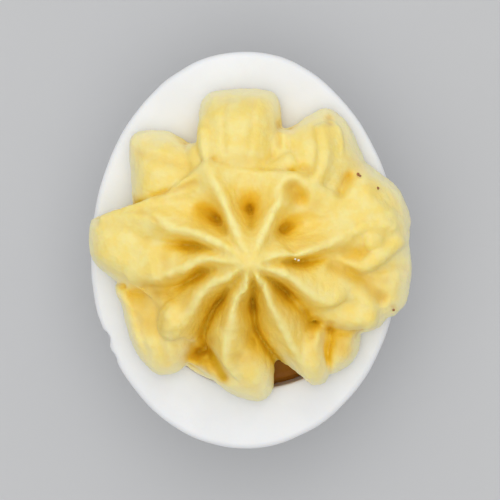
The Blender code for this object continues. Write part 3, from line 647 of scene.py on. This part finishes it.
def sphere_directions(count):
    """Evenly spread upward directions."""
    k = np.arange(count) + 0.5
    z = 1 - k / count
    a = k * math.pi * (1 + 5 ** 0.5)
    return np.stack([np.sqrt(1 - z * z) * np.cos(a), np.sqrt(1 - z * z) * np.sin(a), z], 1)


def openness(c, n, cell=0.45, rays=48):
    """Share of the sky in front of each vertex that the piping leaves open, found by walking
    rays through a grid of the cells that hold surface."""
    low = c.min(0) - 10
    size = np.ceil((c.max(0) + 10 - low) / cell).astype(int)
    full = np.zeros(size, bool)
    i = ((c - low) / cell).astype(int)
    full[i[:, 0], i[:, 1], i[:, 2]] = True
    flat = full.ravel()
    strides = np.array([size[1] * size[2], size[2], 1])
    steps = np.concatenate([np.arange(0.5, 4, 0.4), np.arange(4, 9, 0.6)])
    seen, whole = np.zeros(len(c)), np.zeros(len(c))
    start = c + n * 0.75
    for d in sphere_directions(rays):
        w = np.clip(n @ d, 0, None)
        clear = np.ones(len(c), bool)
        for s in steps:
            q = ((start + d * s - low) / cell).astype(int)
            q = np.clip(q, 0, size - 1)
            clear &= ~flat[q @ strides]
        seen += w * clear
        whole += w
    return seen / np.maximum(whole, 0.05)


def crests(c, cell=0.25):
    """How far each vertex stands above the surface on both sides of it, at 0.8 and 1.5 mm,
    and how far it lies below it."""
    low = c[:, :2].min(0) - 3
    size = np.ceil((c[:, :2].max(0) + 3 - low) / cell).astype(int)
    height = np.full(size, -20.0)
    i = ((c[:, :2] - low) / cell).astype(int)
    np.maximum.at(height, (i[:, 0], i[:, 1]), c[:, 2])
    padded = np.pad(height, 1, mode="edge")
    around = np.max([padded[a:a + size[0], b:b + size[1]] for a in range(3) for b in range(3)], 0)
    height = np.where(height < -19, np.maximum(around, 0.0), height)
    stand, sink = np.zeros(len(c)), np.zeros(len(c))
    for k in range(6):
        for reach, gain in ((0.8, 1.0), (1.5, 0.7)):
            drops, rises = [], []
            for a in (math.pi * k / 6, math.pi * (k + 6) / 6):
                x = ((c[:, 0] + reach * math.cos(a) - low[0]) / cell).astype(int)
                y = ((c[:, 1] + reach * math.sin(a) - low[1]) / cell).astype(int)
                drops.append(gain * np.clip(c[:, 2] - height[x, y], -1.2, 1.2))
                rises.append(gain * np.clip(height[x, y] - c[:, 2], -1.6, 1.6))
            stand = np.maximum(stand, np.minimum(*drops))
            sink = np.maximum(sink, np.minimum(*rises))
    return stand, sink


def paint(mesh, name, values):
    layer = mesh.attributes.new(name, "FLOAT", "POINT")
    layer.data.foreach_set("value", values.astype(np.float32))


def spread(mesh, values, rounds):
    """Values smoothed over the mesh's edges."""
    e = np.zeros(len(mesh.edges) * 2, np.int32)
    mesh.edges.foreach_get("vertices", e)
    e = e.reshape(-1, 2)
    degree = np.bincount(e.ravel(), minlength=len(values)).astype(float)
    for _ in range(rounds):
        s = np.bincount(e[:, 0], weights=values[e[:, 1]], minlength=len(values)) + \
            np.bincount(e[:, 1], weights=values[e[:, 0]], minlength=len(values))
        values = 0.5 * values + 0.5 * s / degree
    return values


c = coords(filling.data) / MM
n = normals(filling.data)
# painted shade along the folds and pits
paint(filling.data, "fold", spread(filling.data, fold_shade, 3))
# openness to the sky; it drives the painted shade in furrows and holes
paint(filling.data, "sky", spread(filling.data, openness(c, n), 12))
inner = np.clip((17 - np.hypot(c[:, 0], c[:, 1])) / 5, 0, 1)
paint(filling.data, "tilt", spread(filling.data, np.clip(1 - n[:, 2], 0, 1) * inner, 4))   # painted shade on the steep flanks of the furrows
rim_light_share = np.clip((np.hypot(c[:, 0], c[:, 1]) - 11) / 4, 0, 1) * np.clip(1.5 - 1.5 * n[:, 2], 0, 1)
paint(filling.data, "rim", spread(filling.data, rim_light_share * np.clip((8.5 - c[:, 2]) / 3, 0, 1), 8))   # painted light: the outer walls turn paler to offset their shade
stand, sink = crests(c)
# crest: how far a vertex stands above its neighbours; it drives a painted highlight on the crests
paint(filling.data, "crest", spread(filling.data, stand * inner * np.clip(3 * n[:, 2] - 0.6, 0, 1), 3))
paint(filling.data, "groove", spread(filling.data, sink * np.clip((c[:, 2] - 2) / 2, 0, 1) * np.clip(4 * n[:, 2], 0, 1), 2))   # painted shade in grooves, not on upright walls


# ---------------------------------------------------------------- egg white
def egg_white_mesh():
    """The half as one closed surface: foot, skin, soft rim, cut face, hollow."""
    columns = 256
    angle = np.linspace(0, 2 * math.pi, columns, endpoint=False)
    half_l, half_w = (high_w.y - low_w.y) / 2 / MM, (high_w.x - low_w.x) / 2 / MM
    cx, cy = (high_w.x + low_w.x) / 2 / MM, (high_w.y + low_w.y) / 2 / MM
    cut = CUT / MM
    ca, sa = np.cos(angle), np.sin(angle)

    def skin(s):
        """Outline at share s of the full section, egg-shaped."""
        y = half_l * s * sa
        v = sa * s
        w = half_w * s * (1 - 0.034 * v - 0.012 * v * v) / 1.0
        return cx + w * ca, cy + y

    rows = []

    def row(x, y, z):
        rows.append(np.stack([x + 0 * ca, y + 0 * ca, z + 0 * ca], 1))

    depth = cut + 1.0                       # the whole half is a millimetre deeper than what stands
    foot = 1.0
    start = math.asin(math.sqrt(max(0.0, 1 - ((depth - foot) / depth) ** 2)))
    for t in (0.25, 0.5, 0.75, 0.92):
        s = math.sin(start) * t
        x, y = skin(s)
        row(x, y, 0.0)
    steps = np.linspace(start, math.pi / 2, 60)
    for t in steps:
        s, zz = math.sin(t), depth * math.cos(t)
        z = cut - zz
        if z > cut - 0.9:
            break
        x, y = skin(s)
        row(x, y, z)
    # soft rim
    for t in np.linspace(0, math.pi / 2, 9):
        inset = 0.85 * (1 - math.cos(t)) + 0.012
        z = cut - 0.9 + 0.9 * math.sin(t)
        x, y = skin(1.0)
        k = 1 - inset / 22.0
        row(cx + (x - cx) * (1 - inset / half_w), cy + (y - cy) * (1 - inset / half_l), z)
    x1, y1 = rows[-1][:, 0], rows[-1][:, 1]
    hx, hy = SWIRL[0] / MM + HOLLOW_SHIFT[0], SWIRL[1] / MM + HOLLOW_SHIFT[1]
    x2, y2 = hx + (HOLLOW + 0.35) * ca, hy + (HOLLOW + 0.35) * sa
    for t in np.linspace(0, 1, 14)[1:]:
        row(x1 + (x2 - x1) * t, y1 + (y2 - y1) * t, cut)
    for t in np.linspace(0, math.pi / 2, 6)[1:]:
        r = HOLLOW + 0.35 * (1 - math.sin(t))
        row(hx + r * ca, hy + r * sa, cut - 0.35 * (1 - math.cos(t)))
    for t in np.linspace(0, math.pi / 2, 40)[1:-1]:
        r = HOLLOW * math.cos(t)
        z = cut - 0.35 - (HOLLOW_DEPTH - 0.35) * math.sin(t)
        row(hx + r * ca, hy + r * sa, z)
    k, m = len(rows), columns
    v = np.concatenate([np.concatenate(rows), [[cx, cy, 0]], [[hx, hy, cut - HOLLOW_DEPTH]]])
    f = []
    for i in range(k - 1):
        for j in range(m):
            j2 = (j + 1) % m
            f.append((i * m + j, i * m + j2, (i + 1) * m + j2, (i + 1) * m + j))
    for j in range(m):
        j2 = (j + 1) % m
        f.append((k * m, j2, j))
        f.append((k * m + 1, (k - 1) * m + j, (k - 1) * m + j2))
    return v, f


def wear(v):
    """The white isn't turned: its skin and cut face undulate a little, and its edge is nicked."""
    cut = CUT / MM
    wave = np.array([noise.noise(Vector(p) * 0.12) + 0.5 * noise.noise(Vector(p) * 0.31 + Vector((4, 1, 8))) for p in v])
    rim = np.hypot(v[:, 0] / 22.8, v[:, 1] / 27.9)
    out = v[:, :2] / (np.hypot(v[:, 0], v[:, 1])[:, None] + 1e-9)
    skin = np.clip((rim - 0.9) / 0.08, 0, 1) * np.clip((v[:, 2] - 4) / 4, 0, 1)
    v[:, :2] -= out * (0.22 * np.clip(0.5 + wave, 0, 1.4) * skin)[:, None]
    face = (v[:, 2] > cut - 1.0) & (rim > 0.5)
    v[:, 2] -= np.where(face, 0.16 * np.clip(0.5 + wave, 0, 1.3) * np.clip((v[:, 2] - cut + 1.0), 0, 1), 0)
    for x, y, half, deep in NICKS:
        away = np.hypot(v[:, 0] - x, v[:, 1] - y)
        push = deep * np.exp(-(away / half) ** 2) * np.clip((v[:, 2] - cut + 3.2) / 1.6, 0, 1)
        v[:, :2] -= out * push[:, None]
        v[:, 2] -= np.where(v[:, 2] > cut - 1.0, 0.5 * push, 0)
    return v


v, f = egg_white_mesh()
v = wear(v)
white = object_from("egg_white_half", v * MM, f)
white.data.shade_smooth()


# ------------------------------------------------------------------- specks
def specks(name, spots, squash=0.45):
    """Tiny uneven grains lying on the filling, as one mesh: x, y, size."""
    bpy.context.view_layer.update()
    verts, faces = [], []
    golden = (1 + 5 ** 0.5) / 2
    corner = np.array([(-1, golden, 0), (1, golden, 0), (-1, -golden, 0), (1, -golden, 0), (0, -1, golden), (0, 1, golden),
                       (0, -1, -golden), (0, 1, -golden), (golden, 0, -1), (golden, 0, 1), (-golden, 0, -1), (-golden, 0, 1)], float)
    corner /= np.linalg.norm(corner[0])
    sides = [(0, 11, 5), (0, 5, 1), (0, 1, 7), (0, 7, 10), (0, 10, 11), (1, 5, 9), (5, 11, 4), (11, 10, 2), (10, 7, 6), (7, 1, 8),
             (3, 9, 4), (3, 4, 2), (3, 2, 6), (3, 6, 8), (3, 8, 9), (4, 9, 5), (2, 4, 11), (6, 2, 10), (8, 6, 7), (9, 8, 1)]
    top = coords(filling.data) / MM
    for i, (x, y, size) in enumerate(spots):
        near = top[np.hypot(top[:, 0] - x, top[:, 1] - y) < 0.35]
        z = near[:, 2].max()
        base = len(verts)
        for p in corner:
            r = size / 2 * (1 + 0.45 * noise.noise(Vector(p) * 1.3 + Vector((i * 5.1, 2, 3))))
            verts.append(((x + p[0] * r * (1.2 if i % 2 else 0.9)) * MM, (y + p[1] * r) * MM, (z + size * 0.06 + p[2] * r * squash) * MM))
        faces += [(a + base, b + base, c + base) for a, b, c in sides]
    return object_from(name, verts, faces, (SWIRL[0], SWIRL[1], CUT))


spice = specks("spice_specks", SPICE)
pale_bits = specks("pale_specks", PALE_BITS, 0.7)


# ---------------------------------------------------------------- materials
def new_material(name):
    m = bpy.data.materials.new(name)
    m.use_nodes = True
    return m, m.node_tree.nodes, m.node_tree.links, m.node_tree.nodes["Principled BSDF"]


def blend_node(N, L, factor, a, b, mode="MIX"):
    """Mix of two colours (sockets or plain colours) by a factor socket."""
    m = N.new("ShaderNodeMix")
    m.data_type = "RGBA"
    m.blend_type = mode
    if hasattr(factor, "links"):
        L.new(factor, m.inputs["Factor"])
    else:
        m.inputs["Factor"].default_value = factor
    for name, value in (("A", a), ("B", b)):
        socket = [s for s in m.inputs if s.name == name and s.type == "RGBA"][0]
        if hasattr(value, "links"):
            L.new(value, socket)
        else:
            socket.default_value = (*value, 1)
    return [s for s in m.outputs if s.type == "RGBA"][0]


def band(N, L, value, low, high, smooth=True):
    """0 below low, 1 above high."""
    m = N.new("ShaderNodeMapRange")
    m.interpolation_type = "SMOOTHSTEP" if smooth else "LINEAR"
    m.inputs["From Min"].default_value, m.inputs["From Max"].default_value = low, high
    L.new(value, m.inputs["Value"])
    return m.outputs["Result"]


def yolk_material():
    m, N, L, p = new_material("piped_yolk")
    p.inputs["Roughness"].default_value = 0.5
    p.inputs["Specular IOR Level"].default_value = 0.35
    p.inputs["Subsurface Weight"].default_value = 0.42
    p.inputs["Subsurface Radius"].default_value = (1.0, 0.75, 0.18)
    p.inputs["Subsurface Scale"].default_value = 0.0013
    geo = N.new("ShaderNodeTexCoord")

    def noise_node(scale, detail):
        n = N.new("ShaderNodeTexNoise")
        n.inputs["Scale"].default_value = scale
        n.inputs["Detail"].default_value = detail
        L.new(geo.outputs["Object"], n.inputs["Vector"])
        return n.outputs["Fac"]

    sky = N.new("ShaderNodeAttribute")
    sky.attribute_name = "sky"
    crest = N.new("ShaderNodeAttribute")
    crest.attribute_name = "crest"
    blotch = noise_node(420, 4)
    colour = blend_node(N, L, band(N, L, blotch, 0.36, 0.64), YOLK_DEEP, YOLK)
    # painted highlight: the crests turn paler
    colour = blend_node(N, L, band(N, L, crest.outputs["Fac"], 0.1, 0.7), colour, YOLK_CREST_HIGHLIGHT)
    tilt = N.new("ShaderNodeAttribute")
    tilt.attribute_name = "tilt"
    # painted shade: the steep flanks of the furrows turn deeper golden
    colour = blend_node(N, L, band(N, L, tilt.outputs["Fac"], 0.08, 0.95, False), colour, YOLK_FLANK_SHADE)
    rim = N.new("ShaderNodeAttribute")
    rim.attribute_name = "rim"
    # painted light: the outer walls of the lobes turn paler where they lie in shade
    colour = blend_node(N, L, rim.outputs["Fac"], colour, YOLK_RIM_LIGHT)
    fold = N.new("ShaderNodeAttribute")
    fold.attribute_name = "fold"
    # painted shade along the folds and pits
    colour = blend_node(N, L, fold.outputs["Fac"], colour, YOLK_FOLD_SHADE)
    # painted shade where little sky is open, darkest in the holes
    colour = blend_node(N, L, band(N, L, sky.outputs["Fac"], SHADE_AT[0], SHADE_AT[1]), YOLK_SHADE, colour)
    colour = blend_node(N, L, band(N, L, sky.outputs["Fac"], HOLE_SHADE_AT[0], HOLE_SHADE_AT[1]), YOLK_HOLE_SHADE, colour)
    groove = N.new("ShaderNodeAttribute")
    groove.attribute_name = "groove"
    # painted shade in grooves that lie below their surroundings
    colour = blend_node(N, L, band(N, L, groove.outputs["Fac"], 0.55, 2.2), colour, YOLK_GROOVE_SHADE)
    # painted shade: the darkest folds take the groove's shade colour
    colour = blend_node(N, L, band(N, L, fold.outputs["Fac"], 0.75, 1.4), colour, YOLK_GROOVE_SHADE)
    apart = N.new("ShaderNodeSeparateXYZ")
    L.new(geo.outputs["Object"], apart.inputs["Vector"])
    # painted shadow: filling below the cut face, deep in the open pocket of the hollow, turns dark brown
    colour = blend_node(N, L, band(N, L, apart.outputs["Z"], 0.7 * MM, -0.6 * MM), colour, YOLK_POCKET_SHADE)
    L.new(colour, p.inputs["Base Color"])
    grain = noise_node(2600, 5)
    b = N.new("ShaderNodeBump")
    b.inputs["Strength"].default_value = 0.42
    b.inputs["Distance"].default_value = 0.0002
    L.new(grain, b.inputs["Height"])
    L.new(b.outputs["Normal"], p.inputs["Normal"])
    return m


def white_material():
    m, N, L, p = new_material("cooked_white")
    p.inputs["Specular IOR Level"].default_value = 0.4
    p.inputs["Subsurface Weight"].default_value = 0.35
    p.inputs["Subsurface Radius"].default_value = (1.0, 0.85, 0.7)
    p.inputs["Subsurface Scale"].default_value = 0.003
    geo = N.new("ShaderNodeTexCoord")

    def noise_node(scale, detail):
        n = N.new("ShaderNodeTexNoise")
        n.inputs["Scale"].default_value = scale
        n.inputs["Detail"].default_value = detail
        L.new(geo.outputs["Object"], n.inputs["Vector"])
        return n.outputs["Fac"]

    cloud = noise_node(130, 3)
    colour = blend_node(N, L, band(N, L, cloud, 0.35, 0.65), (0.795, 0.805, 0.82), (0.825, 0.835, 0.85))
    L.new(colour, p.inputs["Base Color"])
    gloss = N.new("ShaderNodeMapRange")
    gloss.inputs["From Min"].default_value, gloss.inputs["From Max"].default_value = 0.3, 0.7
    gloss.inputs["To Min"].default_value, gloss.inputs["To Max"].default_value = 0.28, 0.42
    L.new(noise_node(320, 4), gloss.inputs["Value"])
    L.new(gloss.outputs["Result"], p.inputs["Roughness"])
    dimple = N.new("ShaderNodeBump")
    dimple.inputs["Strength"].default_value = 0.25
    dimple.inputs["Distance"].default_value = 0.0002
    L.new(noise_node(900, 4), dimple.inputs["Height"])
    L.new(dimple.outputs["Normal"], p.inputs["Normal"])
    return m


filling.data.materials.clear()
filling.data.materials.append(yolk_material())
white.data.materials.append(white_material())


def mottled_material(name, dark, light, scale, rough_low, rough_high, bump=0.0):
    """Two close tones in uneven patches, with the gloss varying too."""
    m, N, L, p = new_material(name)
    geo = N.new("ShaderNodeTexCoord")
    n = N.new("ShaderNodeTexNoise")
    n.inputs["Scale"].default_value = scale
    n.inputs["Detail"].default_value = 4
    L.new(geo.outputs["Object"], n.inputs["Vector"])
    L.new(blend_node(N, L, band(N, L, n.outputs["Fac"], 0.35, 0.65), dark, light), p.inputs["Base Color"])
    gloss = N.new("ShaderNodeMapRange")
    gloss.inputs["From Min"].default_value, gloss.inputs["From Max"].default_value = 0.3, 0.7
    gloss.inputs["To Min"].default_value, gloss.inputs["To Max"].default_value = rough_low, rough_high
    L.new(n.outputs["Fac"], gloss.inputs["Value"])
    L.new(gloss.outputs["Result"], p.inputs["Roughness"])
    if bump:
        b = N.new("ShaderNodeBump")
        b.inputs["Strength"].default_value = 0.4
        b.inputs["Distance"].default_value = bump
        L.new(n.outputs["Fac"], b.inputs["Height"])
        L.new(b.outputs["Normal"], p.inputs["Normal"])
    return m


spice.data.materials.append(mottled_material("spice", (0.22, 0.08, 0.02), (0.38, 0.16, 0.05), 5000, 0.5, 0.7, 0.00004))
pale_bits.data.materials.append(mottled_material("pale_speck", (0.80, 0.77, 0.66), (0.90, 0.89, 0.83), 4000, 0.35, 0.55, 0.00004))

# ------------------------------------------------------------- into the frame
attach(filling, "root")
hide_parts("filling")
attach(spice, "root")
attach(pale_bits, "root")
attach(white, "root")
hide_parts("egg_white")

# ------------------------------------------------------- floor, light, camera
floor = object_from("floor", [(-1.5, -1.5, 0), (1.5, -1.5, 0), (1.5, 1.5, 0), (-1.5, 1.5, 0)], [(0, 1, 2, 3)])
floor.data.materials.append(mottled_material("floor_paint", (0.513, 0.518, 0.528), (0.527, 0.532, 0.542), 14, 0.7, 0.8))


def area_light(name, at, size, power, target=(0, 0, 0.02)):
    data = bpy.data.lights.new(name, "AREA")
    data.shape = "SQUARE"
    data.size = size
    data.energy = power
    o = bpy.data.objects.new(name, data)
    bpy.context.scene.collection.objects.link(o)
    o.location = at
    o.rotation_euler = (Vector(target) - Vector(at)).to_track_quat("-Z", "Y").to_euler()
    return o


area_light("window", (0.02, 0.80, 0.85), 1.0, 2.85)
area_light("overhead", (0, -0.02, 0.8), 0.75, 2.35)
world = bpy.data.worlds.new("studio")
bpy.context.scene.world = world
world.use_nodes = True
world.node_tree.nodes["Background"].inputs["Color"].default_value = (1, 1, 1, 1)
world.node_tree.nodes["Background"].inputs["Strength"].default_value = 0.62

camera_data = bpy.data.cameras.new("camera")
camera = bpy.data.objects.new("camera", camera_data)
bpy.context.scene.collection.objects.link(camera)
bpy.context.scene.camera = camera
aim = Vector((0, 0, 0.020))
back = Vector((48, 52, 900)).normalized()
right = Vector((0, 1, 0)).cross(back).normalized()
up = back.cross(right)
camera.matrix_world = Matrix.Translation(aim + back * 0.9) @ Matrix((right, up, back)).transposed().to_4x4()
camera_data.sensor_width = 36
camera_data.lens = 36 * 0.9 / 0.070
camera_data.clip_start = 0.05
bpy.context.scene.view_settings.view_transform = "Standard"

bpy.context.view_layer.update()
